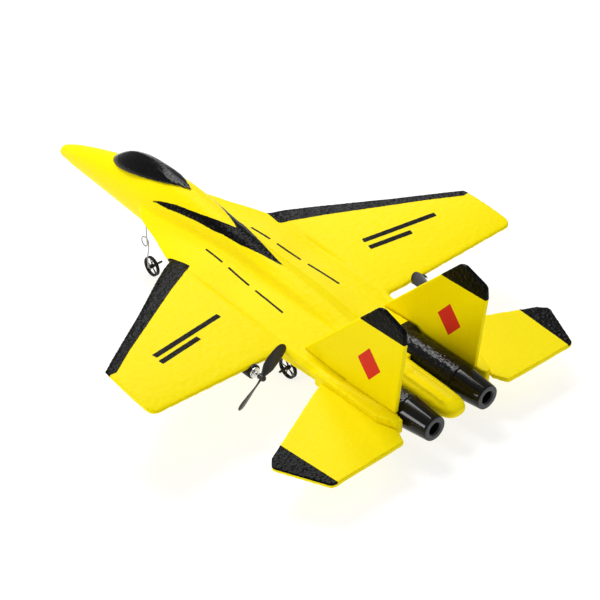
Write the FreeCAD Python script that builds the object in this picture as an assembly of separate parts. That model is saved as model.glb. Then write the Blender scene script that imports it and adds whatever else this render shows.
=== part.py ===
"""Twin-fin, twin-pusher foam jet model aeroplane (radio controlled).

Everything is drawn in a body frame (millimetres, nose towards -Y, port wing towards +X, wing
plane near z = 0). On export it is pitched nose-up about X and lifted, so that z = 0 is the
ground under the three wheels and the origin is below the middle of the overall length.
"""
import FreeCAD, Part
from FreeCAD import Vector as V
import math
import os

SIDES = (("port", 1), ("starboard", -1))

# ---------------------------------------------------------------- shared dimensions (mm)
NOSE_Y = -261.0
HALF_SPAN = 290.0 / 2
WING_ROOT_X = 42.0      # half width of the centre body, where the wing panel starts
WING_ROOT_LE, WING_ROOT_TE = -86.0, 28.0
WING_TIP_LE, WING_TIP_TE = -10.5, 34.0
WING_ROOT_Z, WING_TIP_Z = -5.0, 8.0     # mid surface height at y = WING_REF_Y
WING_REF_Y = -25.0
INCIDENCE_ROOT, INCIDENCE_TIP = 0.053, 0.100    # rise towards the leading edge, mm per mm
SPAR_Y, SPAR_R = -14.0, 1.5
SPAR_INNER_X, SPAR_OUTER_X = WING_ROOT_X - 20.0, 118.0

TUBE_X, TUBE_Z, TUBE_R = 21.3, -13.0, 10.0      # ducts
TUBE_Y0, TUBE_Y1 = 63.0, 112.5
TUBE_BORE_R = TUBE_R - 3.2

FIN_X, FIN_T = 32.0, 3.0
TAIL_Z, TAIL_T = -13.8, 3.2
FIN_TAB_Y0, TAIL_TAB_Y0, TAB_Y1 = 72.0, 68.0, 104.0     # tabs let into the booms
TAIL_TAB_X = 38.5

MOTOR_X, MOTOR_Z, MOTOR_R = 68.6, -8.4, 3.5
POD_R, POD_Y0, POD_Y1 = 4.5, 9.0, 30.9
CAN_Y0, CAN_Y1 = POD_Y1 - 15.9, POD_Y1 + 2.0    # ends of the motor can
SHAFT_R = 0.5
PROP_Y, PROP_R = 37.9, 23.5
PROP_ANGLE = {"port": 138.0, "starboard": 45.0}     # degrees from +X towards +Z, at rest

WIRE_R = 0.42           # landing gear wire
NOSE_WHEEL = (0.0, -161.5, -67.0)
MAIN_WHEEL = (20.0, 4.8, -46.1)     # port side
SOCKET = (-1.5, 7.3, -164.0, -156.0, -23.4, -15.0)      # nose gear socket, as for box()

BOX_X, BOX_Y0, BOX_Y1 = 15.0, -64.0, -6.0       # electronics box
BOX_Z0, BOX_Z1 = -27.0, -9.5
LEAD_BOX_X, LEAD_BOX_Z = 10.5, -15.0    # where the motor leads enter the box
LEAD_POD_Y = POD_Y0 + 4.4               # where they leave the pod

# pitch that brings the three wheels level, then the move to the exported origin
PITCH = -math.degrees(math.atan((MAIN_WHEEL[2] - NOSE_WHEEL[2])
                                / (MAIN_WHEEL[1] - NOSE_WHEEL[1])))
SHIFT = V(0.0, 64.375, 53.687)


# ---------------------------------------------------------------- helpers
def mirror(shape):
    return shape.mirror(V(0, 0, 0), V(1, 0, 0))


def on_side(side, point):
    x, y, z = point
    return (side * x, y, z)


def largest(shape):
    return max(shape.Solids, key=lambda solid: solid.Volume)


def box(x0, x1, y0, y1, z0, z1):
    """Box between limits; the two x limits may come in either order."""
    x0, x1 = sorted((x0, x1))
    return Part.makeBox(x1 - x0, y1 - y0, z1 - z0, V(x0, y0, z0))


def block(x, y, half_x, half_y, z0, z1):
    """Box centred on x, y."""
    return box(x - half_x, x + half_x, y - half_y, y + half_y, z0, z1)


def cylinder(radius, start, end):
    start = V(*start)
    axis = V(*end) - start
    return Part.makeCylinder(radius, axis.Length, start, axis)


def cylinder_x(radius, y, z, x0, x1):
    return cylinder(radius, (x0, y, z), (x1, y, z))


def cylinder_y(radius, x, z, y0, y1):
    return cylinder(radius, (x, y0, z), (x, y1, z))


def cylinder_z(radius, x, y, z0, z1):
    return cylinder(radius, (x, y, z0), (x, y, z1))


def cone_y(radius0, radius1, length, x, y, z):
    return Part.makeCone(radius0, radius1, length, V(x, y, z), V(0, 1, 0))


def round_corner(before, corner, after, radius):
    """Start, middle and end of the arc that rounds a corner."""
    back = (before - corner).normalize()
    ahead = (after - corner).normalize()
    half_angle = math.acos(back.dot(ahead)) / 2
    reach = radius / math.tan(half_angle)
    bisector = (back + ahead).normalize()
    middle = corner + bisector * (radius / math.sin(half_angle) - radius)
    return corner + back * reach, middle, corner + ahead * reach


def bent_wire(points, radius, bend_radius):
    """Round wire through points, with an arc at each bend."""
    points = [V(*point) for point in points]
    edges = []
    last = points[0]
    for before, corner, after in zip(points, points[1:], points[2:]):
        start, middle, end = round_corner(before, corner, after, bend_radius)
        edges += [Part.makeLine(last, start), Part.Arc(start, middle, end).toShape()]
        last = end
    edges.append(Part.makeLine(last, points[-1]))
    profile = Part.Wire([Part.makeCircle(radius, points[0], points[1] - points[0])])
    return Part.Wire(edges).makePipeShell([profile], True, True)


def closed_spline(points):
    curve = Part.BSplineCurve()
    curve.interpolate(points, PeriodicFlag=True)
    return Part.Wire([curve.toShape()])


def section(y, half_width, top, bottom, widest_z, top_exp, bottom_exp):
    """Superellipse section in the plane y, with its own exponent above and below widest_z."""
    points = []
    for i in range(32):
        angle = 2 * math.pi * i / 32
        across, up = math.cos(angle), math.sin(angle)
        power = 2 / (top_exp if up >= 0 else bottom_exp)
        height = top - widest_z if up >= 0 else widest_z - bottom
        points.append(V(half_width * math.copysign(abs(across) ** power, across), y,
                        widest_z + height * math.copysign(abs(up) ** power, up)))
    return closed_spline(points)


def body_loft(stations):
    return Part.makeLoft([section(*station) for station in stations], True, False)


def plan_prism(outline, z0, z1, radii):
    """Prism on an (x, y) outline; radii maps the index of a corner to its rounding radius."""
    corners = [V(x, y, z0) for x, y in outline]
    count = len(corners)
    bends = []
    for i, corner in enumerate(corners):
        if i in radii:
            bends.append(round_corner(corners[i - 1], corner, corners[(i + 1) % count], radii[i]))
        else:
            bends.append((corner, None, corner))
    edges = []
    for i, (start, middle, end) in enumerate(bends):
        if middle is not None:
            edges.append(Part.Arc(start, middle, end).toShape())
        edges.append(Part.makeLine(end, bends[(i + 1) % count][0]))
    return Part.Face(Part.Wire(edges)).extrude(V(0, 0, z1 - z0))


def side_prism(outline, x0, x1, radii):
    """Prism on a (y, z) outline: a plan prism stood up, its axes (x, y, z) going to (y, z, x)."""
    flat = plan_prism(outline, 0, x1 - x0, radii)
    return flat.transformed(FreeCAD.Matrix(0, 0, 1, x0, 1, 0, 0, 0, 0, 1, 0, 0, 0, 0, 0, 1))


def export(name, *shapes):
    """Move the solids of the shapes into the exported frame and write them as one file."""
    solids = [solid for shape in shapes for solid in shape.Solids]
    piece = (solids[0] if len(solids) == 1 else Part.makeCompound(solids)).copy()
    piece.rotate(V(0, 0, 0), V(1, 0, 0), PITCH)
    piece.translate(SHIFT)
    piece.exportStep("parts/" + name + ".step")


# ---------------------------------------------------------------- fuselage foam
# station tables: y, half width, top, bottom, widest z, upper exponent, lower exponent
CORE = [
    (NOSE_Y + 0.2, 0.9, -17.6, -19.6, -18.6, 2.0, 2.0),
    (-258.5, 3.6, -14.6, -22.0, -18.4, 2.0, 2.0),
    (-252.0, 5.4, -11.2, -22.6, -17.2, 2.0, 2.0),
    (-243.0, 7.1, -7.6, -23.0, -15.4, 2.0, 2.0),
    (-231.0, 8.8, -3.6, -23.4, -13.2, 2.0, 2.0),
    (-217.0, 10.6, 0.6, -23.6, -11.0, 2.0, 2.0),
    (-202.0, 12.4, 4.6, -23.6, -9.4, 2.0, 2.0),
    (-186.0, 13.8, 8.4, -23.6, -8.4, 2.0, 2.1),
    (-168.0, 15.4, 12.4, -23.4, -7.6, 2.0, 2.2),
    (-150.0, 17.0, 16.4, -23.0, -6.6, 2.0, 2.3),
    (-133.0, 17.6, 18.8, -22.6, -5.6, 1.95, 2.4),
    (-115.0, 17.0, 18.7, -22.2, -4.8, 1.9, 2.4),
    (-95.0, 15.4, 16.4, -21.8, -4.2, 1.9, 2.4),
    (-75.0, 13.6, 13.8, -21.4, -4.0, 1.9, 2.4),
    (-55.0, 12.2, 11.0, -21.2, -4.0, 1.9, 2.4),
    (-36.0, 11.4, 8.4, -21.2, -4.0, 1.9, 2.4),
    (-18.0, 11.2, 6.4, -21.2, -4.0, 2.0, 2.4),
    (10.0, 11.0, 3.2, -21.0, -6.0, 2.0, 2.4),
    (45.0, 10.6, -2.4, -20.6, -9.0, 2.1, 2.4),
    (66.0, 10.4, -5.4, -20.4, -10.4, 2.2, 2.4),
]
DECK = [
    (-152.0, 14.0, -1.2, -9.0, -5.2, 2.2, 2.2),
    (-143.0, 21.0, -1.0, -8.8, -4.8, 2.0, 2.0),
    (-131.0, 26.6, -0.8, -8.6, -4.4, 2.0, 2.0),
    (-119.0, 29.8, -0.5, -9.0, -4.0, 2.1, 2.1),
    (-105.0, 34.4, -0.1, -10.0, -3.8, 2.2, 2.3),
    (-90.0, 39.8, 0.3, -11.0, -3.8, 2.4, 2.5),
    (-78.0, 42.6, 0.6, -11.6, -4.2, 2.8, 2.8),
    (-50.0, 42.8, -0.3, -12.0, -5.2, 3.2, 3.2),
    (-10.0, 42.8, -2.2, -12.6, -7.0, 3.4, 3.4),
    (28.0, 42.8, -4.6, -14.0, -9.2, 3.4, 3.4),
    (66.0, 42.7, -7.4, -16.2, -11.6, 3.4, 3.4),
    (80.0, 42.6, -8.6, -17.0, -12.6, 3.4, 3.4),
]
STINGER = [
    (52.0, 10.4, -5.0, -20.4, -12.4, 3.0, 3.0),
    (75.0, 10.2, -7.0, -20.0, -13.0, 3.0, 3.0),
    (95.0, 9.8, -7.6, -19.4, -13.4, 3.0, 3.0),
    (115.0, 9.2, -8.0, -18.8, -13.4, 2.9, 2.9),
    (126.0, 8.4, -8.6, -18.2, -13.4, 2.7, 2.7),
    (130.5, 6.6, -9.6, -17.2, -13.4, 2.5, 2.5),
    (132.8, 3.8, -11.2, -15.6, -13.4, 2.2, 2.2),
]
CANOPY = [
    (-197.5, 1.2, 4.6, 2.6, 3.6, 2.0, 2.0),
    (-190.0, 6.0, 10.6, 4.0, 6.0, 2.0, 2.0),
    (-180.0, 8.6, 15.6, 6.0, 8.6, 2.0, 2.0),
    (-168.0, 9.6, 19.4, 8.6, 11.2, 2.0, 2.0),
    (-155.0, 9.2, 21.0, 12.0, 13.6, 2.0, 2.0),
    (-140.0, 7.4, 21.0, 14.6, 16.0, 2.0, 2.0),
    (-126.0, 4.4, 20.2, 16.6, 17.6, 2.0, 2.0),
    (-116.5, 1.2, 19.3, 17.6, 18.4, 2.0, 2.0),
]
TRUNK_SIDE = [(-72, -8), (-62, -24.6), (20, -22.8), (74, -20.4), (74, -10), (20, -8)]   # y, z
BOOM_PLAN = [(31.4, 55), (42.6, 55), (42.6, 108), (37.4, 121.0), (33.6, 121.0), (31.4, 112)]
BODY_TRIM_X = 42.82     # the foam is cut flat at this half width


def wing_mid_z(x, y):
    """Height of the wing panel's mid surface."""
    k = (x - WING_ROOT_X) / (HALF_SPAN - WING_ROOT_X)
    incidence = INCIDENCE_ROOT + (INCIDENCE_TIP - INCIDENCE_ROOT) * k
    return WING_ROOT_Z + (WING_TIP_Z - WING_ROOT_Z) * k - incidence * (y - WING_REF_Y)


SPAR_INNER, SPAR_OUTER = [V(x, SPAR_Y, wing_mid_z(x, SPAR_Y))
                          for x in (SPAR_INNER_X, SPAR_OUTER_X)]


def make_fuselage(core):
    """Body, square-mouthed intake trunks, booms and centre stinger, with most of the seats."""
    trunk = side_prism(TRUNK_SIDE, 15.6, 36.5, {1: 3.0})
    trunk = trunk.cut(box(18.4, 33.8, -80, -48, -22.8, -13.6))
    boom = plan_prism(BOOM_PLAN, -17.2, -8.2, {3: 3, 4: 2})
    foam = core.fuse(body_loft(DECK))
    foam = foam.fuse(trunk).fuse(mirror(trunk))
    foam = foam.fuse(boom).fuse(mirror(boom)).fuse(body_loft(STINGER))
    foam = foam.common(box(-BODY_TRIM_X, BODY_TRIM_X, -300, 200, -60, 60))
    # ducts
    for _, side in SIDES:
        foam = foam.cut(cylinder_y(TUBE_R + 0.1, side * TUBE_X, TUBE_Z, TUBE_Y0 - 2, 150))
    # electronics box
    foam = foam.cut(box(-BOX_X - 0.15, BOX_X + 0.15, BOX_Y0 - 0.15, BOX_Y1 + 0.15,
                        -40, BOX_Z1 + 0.15))
    # spars
    for _, side in SIDES:
        foam = foam.cut(cylinder(SPAR_R + 0.05, on_side(side, SPAR_INNER),
                                 on_side(side, SPAR_OUTER)))
    # tabs of the fins and tailplanes
    for _, side in SIDES:
        foam = foam.cut(box(side * (FIN_X - 0.55), side * (FIN_X + FIN_T / 2 + 0.05),
                            FIN_TAB_Y0 - 0.1, TAB_Y1 + 0.1, -13.0, 10))
        foam = foam.cut(box(side * (TAIL_TAB_X - 0.1), side * 60,
                            TAIL_TAB_Y0 - 0.1, TAB_Y1 + 0.1,
                            TAIL_Z - TAIL_T / 2 - 0.05, TAIL_Z + TAIL_T / 2 + 0.05))
    # nose gear socket
    x0, x1, y0, y1, _, z1 = SOCKET
    return foam.cut(box(x0 - 0.1, x1 + 0.1, y0 - 0.1, y1 + 0.1, -40, z1 + 0.1))


# ---------------------------------------------------------------- wing panels
def airfoil(x, leading, trailing, thickness):
    steps = 12
    upper, lower = [], []
    for i in range(steps + 1):
        s = 0.5 * (1 - math.cos(math.pi * i / steps))     # fraction of the chord
        height = thickness * (1.377 * math.sqrt(s) * (1 - s) ** 0.55 + 0.30 * s)
        y = leading + (trailing - leading) * s
        upper.append(V(x, y, wing_mid_z(x, y) + height * 0.62))
        lower.append(V(x, y, wing_mid_z(x, y) - height * 0.46))
    top = Part.BSplineCurve()
    top.interpolate(upper)
    bottom = Part.BSplineCurve()
    bottom.interpolate(lower)
    return Part.Wire([top.toShape(), Part.makeLine(upper[-1], lower[-1]), bottom.toShape()])


def make_wing():
    """Port panel, its plan corners rounded, with the spar bore and the motor seat."""
    wing = Part.makeLoft([airfoil(WING_ROOT_X, WING_ROOT_LE, WING_ROOT_TE, 6.6),
                          airfoil(HALF_SPAN, WING_TIP_LE, WING_TIP_TE, 4.6)], True, True)
    root_x = WING_ROOT_X + 0.9
    tip_x = HALF_SPAN + 0.01
    trailing_trim = [(root_x, -120), (HALF_SPAN, -120), (HALF_SPAN, WING_TIP_TE + 0.6),
                     (root_x, WING_ROOT_TE + 0.2)]
    leading_trim = [(40, -88.0), (tip_x, WING_TIP_LE - 0.5), (tip_x, 60), (40, 60)]
    wing = wing.common(plan_prism(trailing_trim, -20, 30, {2: 6.0}))
    wing = wing.common(plan_prism(leading_trim, -20, 30, {1: 3.5}))
    wing = wing.cut(cylinder(SPAR_R + 0.05, SPAR_INNER, SPAR_OUTER + V(1, 0, 0.09)))
    return wing.cut(cylinder_y(MOTOR_R + 0.05, MOTOR_X, MOTOR_Z, CAN_Y0 - 0.2, 60)).Solids[0]


# ---------------------------------------------------------------- fins and tailplanes
FIN_SIDE = [(33, -8.0), (96.5, 57.0), (101, 58.5), (118.6, 52.5), (119.4, 45), (113.6, -8.0)]
TAIL_PLAN = [
    (42.7, 60.5), (107.5, 92.5), (112.6, 98.5), (97.0, 131.8), (43.8, 131.0), (40.0, 121.6),
    (42.7, 108.5), (42.7, TAB_Y1), (TAIL_TAB_X, TAB_Y1), (TAIL_TAB_X, TAIL_TAB_Y0),
    (42.7, TAIL_TAB_Y0),
]


def make_fin(fuselage):
    fin = side_prism(FIN_SIDE, FIN_X - FIN_T / 2, FIN_X + FIN_T / 2,
                     {1: 3.5, 2: 3, 3: 3.5, 4: 3.0})
    fin = fin.fuse(box(FIN_X - 0.5, FIN_X + FIN_T / 2, FIN_TAB_Y0, TAB_Y1, -12.8, -7.9))
    return largest(fin.cut(fuselage))


def make_tailplane():
    return plan_prism(TAIL_PLAN, TAIL_Z - TAIL_T / 2, TAIL_Z + TAIL_T / 2,
                      {1: 4, 2: 3, 3: 4, 4: 2})


# ---------------------------------------------------------------- ducts and nozzles
FAIRING_SIDE = [(37.5, -12), (37.5, -4.5), (66, -2.9), (70, -5.5), (70, -12)]   # y, z
NOZZLE_Y0, NOZZLE_L = TUBE_Y1 + 0.25, 21.5
NOZZLE_R0, NOZZLE_R1, NOZZLE_HOLE_R = 10.2, 7.7, 4.0


def make_duct(side, fuselage, fin):
    """Blind tube with the sloping fairing that leads the deck down on to it."""
    x = side * TUBE_X
    bore = cylinder_y(TUBE_BORE_R, x, TUBE_Z, TUBE_Y0 + 6, TUBE_Y1 + 1)
    duct = cylinder_y(TUBE_R, x, TUBE_Z, TUBE_Y0, TUBE_Y1).cut(bore)
    fairing = side_prism(FAIRING_SIDE, 12.2, 29.4, {1: 0.6, 2: 3.0})
    if side < 0:
        fairing = mirror(fairing)
    duct = largest(duct.fuse(fairing.cut(bore)).cut(fuselage))
    return largest(duct.cut(fin))


def make_nozzle(side):
    """Tapered nozzle with a hollow spigot that enters the duct."""
    x = side * TUBE_X
    end_y = NOZZLE_Y0 + NOZZLE_L
    nozzle = cone_y(NOZZLE_R0, NOZZLE_R1, NOZZLE_L, x, NOZZLE_Y0, TUBE_Z)
    rim = [edge for edge in nozzle.Edges
           if abs(edge.BoundBox.YMin - end_y) < 1e-3 and edge.BoundBox.YLength < 1e-3]
    nozzle = nozzle.makeFillet(0.8, rim)
    nozzle = nozzle.fuse(cylinder_y(TUBE_BORE_R - 0.1, x, TUBE_Z, TUBE_Y1 - 5, NOZZLE_Y0 + 0.5))
    nozzle = nozzle.cut(cylinder_y(NOZZLE_HOLE_R, x, TUBE_Z, NOZZLE_Y0 + 7.0, end_y + 1))
    # chamfer at the mouth
    nozzle = nozzle.cut(Part.makeCone(5.0, NOZZLE_HOLE_R, 1.0, V(x, end_y + 0.001, TUBE_Z),
                                      V(0, -1, 0)))
    return nozzle.cut(cylinder_y(5.4, x, TUBE_Z, TUBE_Y1 - 6, NOZZLE_Y0 + 4.0))


# ---------------------------------------------------------------- motors and propellers
# radius, chord, pitch angle in degrees, thickness
BLADE = [
    (1.4, 2.0, 46, 1.5), (4.0, 3.4, 42, 1.2), (8.0, 6.0, 33, 0.95), (13.0, 7.4, 24, 0.85),
    (18.0, 6.9, 18, 0.75), (21.4, 5.6, 15, 0.65), (23.0, 3.4, 14, 0.5),
    (PROP_R, 1.4, 13.5, 0.35),
]


def make_pod(side, wing):
    x = side * MOTOR_X
    pod = cylinder_y(POD_R, x, MOTOR_Z, POD_Y0 + 8, POD_Y1)
    pod = pod.fuse(cone_y(2.4, POD_R, 8.0, x, POD_Y0, MOTOR_Z))
    pod = pod.cut(cylinder_y(MOTOR_R + 0.02, x, MOTOR_Z, CAN_Y0 - 0.1, POD_Y1 + 1))
    # passages for the leads, lengthwise and then inboard
    pod = pod.cut(cylinder_y(1.4, x, MOTOR_Z, POD_Y0 + 3.0, CAN_Y0))
    pod = pod.cut(cylinder_x(1.4, LEAD_POD_Y, MOTOR_Z, x, x - side * 9))
    return largest(pod.cut(wing))


def make_motor_can(x):
    can = cylinder_y(MOTOR_R, x, MOTOR_Z, CAN_Y0, CAN_Y1)
    can = can.makeFillet(0.5, [edge for edge in can.Edges if edge.BoundBox.YLength < 1e-3])
    can = can.fuse(cylinder_y(1.5, x, MOTOR_Z, CAN_Y1 - 0.4, CAN_Y1 + 0.8))
    return can.cut(cylinder_y(SHAFT_R + 0.04, x, MOTOR_Z, POD_Y1 - 10, POD_Y1 + 4))


def blade_section(radius, chord, pitch, thickness):
    """Cambered blade section at a radius along +X; the shaft axis is Y."""
    cosine, sine = math.cos(math.radians(pitch)), math.sin(math.radians(pitch))
    points = []
    for i in range(16):
        angle = 2 * math.pi * i / 16
        along = chord / 2 * math.cos(angle)
        camber = 0.05 * chord * (1 - (2 * along / chord) ** 2)
        off = thickness / 2 * math.sin(angle) + camber
        points.append(V(radius, off * cosine + along * sine, along * cosine - off * sine))
    return closed_spline(points)


def make_propeller(side, angle):
    blade = Part.makeLoft([blade_section(*row) for row in BLADE], True, False)
    opposite = blade.copy()
    opposite.rotate(V(0, 0, 0), V(0, 1, 0), 180)
    hub = cylinder_y(2.3, 0, 0, -2.4, 2.2).fuse(cone_y(2.3, 1.3, 1.4, 0, 2.2, 0))
    prop = hub.fuse(blade).fuse(opposite).cut(cylinder_y(SHAFT_R, 0, 0, -4, 2.6))
    if side < 0:
        prop = mirror(prop)
    prop.rotate(V(0, 0, 0), V(0, 1, 0), -angle)
    prop.translate(V(side * MOTOR_X, PROP_Y, MOTOR_Z))
    return prop


# motor lead route from the pod through the wing foam and the deck into the box
LEAD_ROUTE = [
    (MOTOR_X - 2.0, LEAD_POD_Y, MOTOR_Z), (62.0, 13.0, wing_mid_z(62, 13.0)),
    (44.0, 9.0, wing_mid_z(44, 9.0)), (38.0, 7.0, -8.6), (25.0, 3.5, -10.6),
    (LEAD_BOX_X, 2.0, LEAD_BOX_Z), (LEAD_BOX_X, -9.5, LEAD_BOX_Z),
]
LEAD_GAP = 0.42     # each of the two leads lies this far off the route


def lead_bore(side):
    """Bore along the lead route, its pod end run on by a fifth of the first leg."""
    mouth = [a + (a - b) * 0.2 for a, b in zip(LEAD_ROUTE[0], LEAD_ROUTE[1])]
    return bent_wire([on_side(side, point) for point in [mouth] + LEAD_ROUTE[1:]], 1.3, 1.5)


def motor_lead(side, offset):
    """One lead, set off along Y in the wing and deck and along X on the way into the box."""
    route = [(x, y + offset, z) for x, y, z in LEAD_ROUTE[:5]]
    route += [(x + offset, y, z) for x, y, z in LEAD_ROUTE[5:]]
    return bent_wire([on_side(side, point) for point in route], 0.33, 1.5)


# ---------------------------------------------------------------- landing gear
WHEEL_R, WHEEL_HALF_W, WHEEL_BORE_R = 7.35, 1.3, 0.47
COIL_X, COIL_Y, COIL_Z, COIL_R = 3.2, -164.4, -46.5, 3.4    # nose gear's spring coil
STRUT_Y = COIL_Y + COIL_R
LEG_X = COIL_X - 1.15       # top of the leg runs beside the coil
RIM = [     # radius, x
    (WHEEL_R - 1.3, -0.9), (WHEEL_R - 0.5, -WHEEL_HALF_W), (WHEEL_R, -0.7),
    (WHEEL_R, 0.7), (WHEEL_R - 0.5, WHEEL_HALF_W), (WHEEL_R - 1.3, 0.9),
]


def make_wheel(centre):
    outline = Part.makePolygon([V(x, 0, radius) for radius, x in RIM + RIM[:1]])
    rim = Part.Face(outline).revolve(V(0, 0, 0), V(1, 0, 0), 360)
    wheel = rim.fuse(cylinder_x(1.7, 0, 0, -1.6, 1.6))
    for k in range(4):
        spoke = block(0, 0, 0.55, 0.65, 1.0, WHEEL_R - 1.0)
        spoke.rotate(V(0, 0, 0), V(1, 0, 0), 90 * k + 18)
        wheel = wheel.fuse(spoke)
    wheel = wheel.cut(cylinder_x(WHEEL_BORE_R, 0, 0, -5, 5))
    wheel.translate(V(*centre))
    return wheel


def make_collar(x0, x1, y, z):
    return cylinder_x(0.8, y, z, x0, x1).cut(cylinder_x(WIRE_R, y, z, x0 - 1, x1 + 1))


def export_nose_gear():
    x, y, z = NOSE_WHEEL
    export("nose_wheel", make_wheel(NOSE_WHEEL))
    export("nose_gear_socket",
           box(*SOCKET).cut(cylinder_z(WIRE_R + 0.03, COIL_X, STRUT_Y, -30, -16.5)))
    # the spring's single turn, towards the nose, is a closed ring at the foot of the strut
    strut = cylinder_z(WIRE_R, COIL_X, STRUT_Y, -16.6, COIL_Z)
    coil = Part.makeTorus(COIL_R, WIRE_R, V(COIL_X, COIL_Y, COIL_Z), V(1, 0, 0))
    joint = Part.makeSphere(WIRE_R, V(COIL_X, STRUT_Y, COIL_Z))
    export("nose_gear_spring", strut.fuse(coil).fuse(joint))
    export("nose_gear_leg", bent_wire([
        (LEG_X, STRUT_Y + 0.02, COIL_Z - 0.75), (LEG_X, y + 0.4, COIL_Z - 5.0),
        (COIL_X, y, COIL_Z - 11.0), (COIL_X, y, z), (x - 9.0, y, z)], WIRE_R, 0.9))
    export("nose_axle_collars", make_collar(x - 8.6, x - 1.85, y, z))


def export_main_gear():
    """One wire across the belly, ending in the two axles, and the plate that holds it."""
    x, y, z = MAIN_WHEEL
    wheel = make_wheel(MAIN_WHEEL)
    export("main_wheel_port", wheel)
    export("main_wheel_starboard", mirror(wheel))
    port_half = [(x + 7.4, y, z), (x - 3.6, y, z), (12.6, y, -22.0)]
    path = port_half + [on_side(-1, point) for point in reversed(port_half)]
    export("main_gear_wire", bent_wire(path, WIRE_R, 1.2))
    collar = make_collar(x + 1.85, x + 7.0, y, z)
    export("main_axle_collars", collar, mirror(collar))
    plate = block(0, y, 15.5, 4.5, -23.4, -20.2)
    export("main_gear_plate", largest(plate.cut(bent_wire(path[1:-1], WIRE_R + 0.03, 1.2))))


# ---------------------------------------------------------------- electronics box and contents
WALL, FLOOR = 1.2, 1.4
HATCH_Y1 = -37.0
HINGE_Y, HINGE_Z = BOX_Y0 - 1.3, BOX_Z0 + 1.0
SWITCH_X, SWITCH_Y = -6.0, -11.5
CHARGE_X, CHARGE_Y = 6.0, -12.5
SCREW_XS, SCREW_Y = (-10.0, 10.0), -40.0
BOARD_TOP, BOARD_BOTTOM, CHIP_TOP = -11.2, -12.3, -12.25
CHIPS = [   # x0, x1, y0, y1, bottom z: blocks under the board
    (-3.0, 3.0, -50, -44, -13.2), (-1.6, 1.6, -36, -31.6, -13.4), (3.6, 6.0, -56, -53, -13.3),
    (-7.4, -5.0, -56, -53, -13.3), (4.0, 7.6, -33, -29, -13.2),
]


def make_box_shell():
    shell = box(-BOX_X, BOX_X, BOX_Y0, BOX_Y1, BOX_Z0, BOX_Z1)
    shell = shell.cut(box(-BOX_X + WALL, BOX_X - WALL, BOX_Y0 + WALL, BOX_Y1 - WALL,
                          BOX_Z0 + FLOOR, BOX_Z1 - WALL))
    # openings for the hatch, the switch and the charge socket
    shell = shell.cut(box(-13.6, 13.6, BOX_Y0 - 1, HATCH_Y1, BOX_Z0 - 1, BOX_Z0 + 1.5))
    shell = shell.cut(block(SWITCH_X, SWITCH_Y, 2.9, 1.0, BOX_Z0 - 1, BOX_Z0 + 2))
    shell = shell.cut(block(CHARGE_X, CHARGE_Y, 3.1, 2.1, BOX_Z0 - 1, BOX_Z0 + 2))
    # hinge lugs
    for x0, x1 in ((9.2, 11.6), (-11.6, -9.2)):
        lug = box(x0, x1, HINGE_Y - 1.3, BOX_Y0 + 0.2, HINGE_Z - 1.0, HINGE_Z + 4.0)
        shell = shell.fuse(lug.cut(cylinder_x(0.42, HINGE_Y, HINGE_Z, x0 - 1, x1 + 1)))
    # screw bosses
    for x in SCREW_XS:
        shell = shell.fuse(cylinder_z(1.6, x, SCREW_Y, BOX_Z1 - WALL + 0.1, BOARD_TOP))
        shell = shell.cut(cylinder_z(0.73, x, SCREW_Y, -10.0, -12.0))
    for _, side in SIDES:
        shell = shell.cut(cylinder_y(1.5, side * LEAD_BOX_X, LEAD_BOX_Z, BOX_Y1 - 3, BOX_Y1 + 2))
    return shell


def make_hatch():
    top = BOX_Z0 + 1.3
    hatch = box(-13.4, 13.4, BOX_Y0 + 0.3, HATCH_Y1 - 0.2, BOX_Z0, top)
    hatch = hatch.fuse(box(-8.9, 8.9, HINGE_Y, BOX_Y0 + 0.4, BOX_Z0, top))
    hatch = hatch.fuse(cylinder_x(1.0, HINGE_Y, HINGE_Z, -8.9, 8.9))
    hatch = hatch.cut(cylinder_x(0.43, HINGE_Y, HINGE_Z, -10, 10))
    # swing clearance beside the hinge lugs
    for x0, x1 in ((8.95, 11.9), (-11.9, -8.95)):
        hatch = hatch.cut(cylinder_x(2.1, HINGE_Y, HINGE_Z, x0, x1))
    # four grooves across the outer face
    for k in range(4):
        y = HATCH_Y1 - 3.4 - 1.6 * k
        hatch = hatch.cut(box(-7, 7, y, y + 0.7, BOX_Z0 - 1, BOX_Z0 + 0.35))
    return hatch


def make_battery():
    cell = box(-9.5, 9.5, -62.0, -38.6, -25.3, -17.9)
    cell = cell.makeFillet(1.6, [edge for edge in cell.Edges if edge.BoundBox.YLength > 20])
    return cell.fuse(box(-7.5, 7.5, -38.7, -36.8, -23.0, -19.8))


def make_board():
    board = box(-12.0, 12.0, -58.0, -26.0, BOARD_BOTTOM, BOARD_TOP)
    for x in SCREW_XS:
        board = board.cut(cylinder_z(0.76, x, SCREW_Y, -15, -10))
    for *limits, bottom in CHIPS:
        board = board.fuse(box(*limits, bottom, CHIP_TOP))
    return board.fuse(cylinder_z(1.6, -7, -32, CHIP_TOP, -15.4))


def make_screw(x):
    shank = cylinder_z(0.7, x, SCREW_Y, -10.4, -12.35)
    return shank.fuse(cylinder_z(1.3, x, SCREW_Y, -12.33, -13.4))


def battery_lead(x):
    return bent_wire([(x, -36.75, -21.4), (x, -20.5, -21.4), (x, -20.5, -11.8),
                      (x, -25.9, -11.8)], 0.45, 1.6)


def make_charge_socket():
    z = BOX_Z0
    socket = block(CHARGE_X, CHARGE_Y, 3.0, 2.0, z + 0.2, z + 6.6)
    socket = socket.cut(block(CHARGE_X, CHARGE_Y, 2.3, 1.3, z, z + 5.4))
    flange = block(CHARGE_X, CHARGE_Y, 3.8, 2.8, z + 1.45, z + 2.4)
    socket = socket.fuse(flange.cut(block(CHARGE_X, CHARGE_Y, 2.6, 1.6, z, z + 5.4)))
    for offset in (-1.0, 1.0):
        socket = socket.fuse(block(CHARGE_X + offset, CHARGE_Y, 0.25, 0.25, z + 1.2, z + 6.0))
    return socket


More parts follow.
